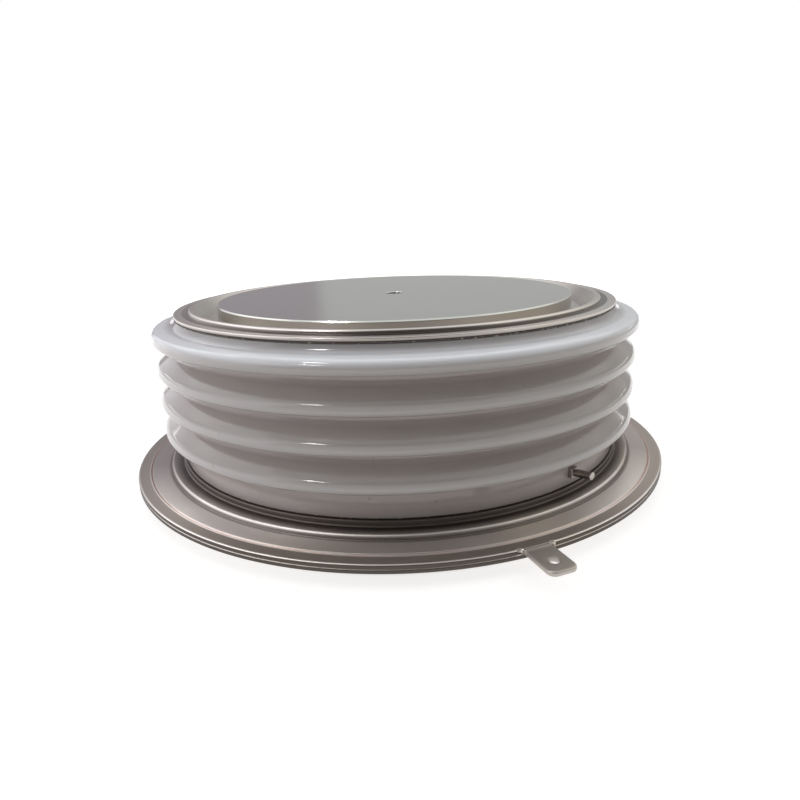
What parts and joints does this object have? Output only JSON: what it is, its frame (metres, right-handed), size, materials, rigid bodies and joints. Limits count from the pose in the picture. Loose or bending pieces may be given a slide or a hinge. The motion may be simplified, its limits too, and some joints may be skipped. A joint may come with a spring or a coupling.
{
  "type": "disc thyristor",
  "caption": "Round press-pack thyristor: ribbed white ceramic ring between nickel-plated copper contact faces, with a wide cold-welded flange, a flat auxiliary cathode tab and a gate pin.",
  "frame": {"origin": "centre of the lower (cathode) contact face, at the mouth of its locating hole", "axes": "+Z along the clamping axis from the cathode face to the anode face, -Y through the auxiliary cathode tab, +X to the side of the gate pin"},
  "size_m": [0.112, 0.119, 0.036],
  "materials": {
    "glazed_alumina": "gloss",
    "nickel_plated_contact": "satin",
    "nickel_plated_flange": "satin",
    "silver_copper_braze": "satin",
    "nickel_tube": "satin",
    "silver": "satin",
    "ptfe": "matte",
    "spring_steel": "satin",
    "silicon": "polished",
    "silicone_rubber": "matte",
    "molybdenum": "satin"
  },
  "bodies": {
    "root": {"ceramic_housing": "glazed_alumina", "anode_pole_piece": "nickel_plated_contact", "anode_flange": "nickel_plated_flange", "anode_braze_ring": "silver_copper_braze", "cathode_pole_piece": "nickel_plated_contact", "housing_weld_flange": "nickel_plated_flange", "cover_weld_flange": "nickel_plated_flange", "housing_braze_ring": "silver_copper_braze", "gate_tube": "nickel_tube", "gate_lead_wire": "silver", "gate_lead_sleeve": "ptfe", "gate_contact_pin": "silver", "gate_spring": "spring_steel", "gate_guide_bush": "ptfe", "gate_insulator_cup": "ptfe", "silicon_wafer": "silicon", "wafer_edge_seal": "silicone_rubber", "anode_molybdenum_disc": "molybdenum", "cathode_molybdenum_disc": "molybdenum", "cathode_silver_shim": "silver", "locating_ring": "ptfe"}
  },
  "joints": []
}
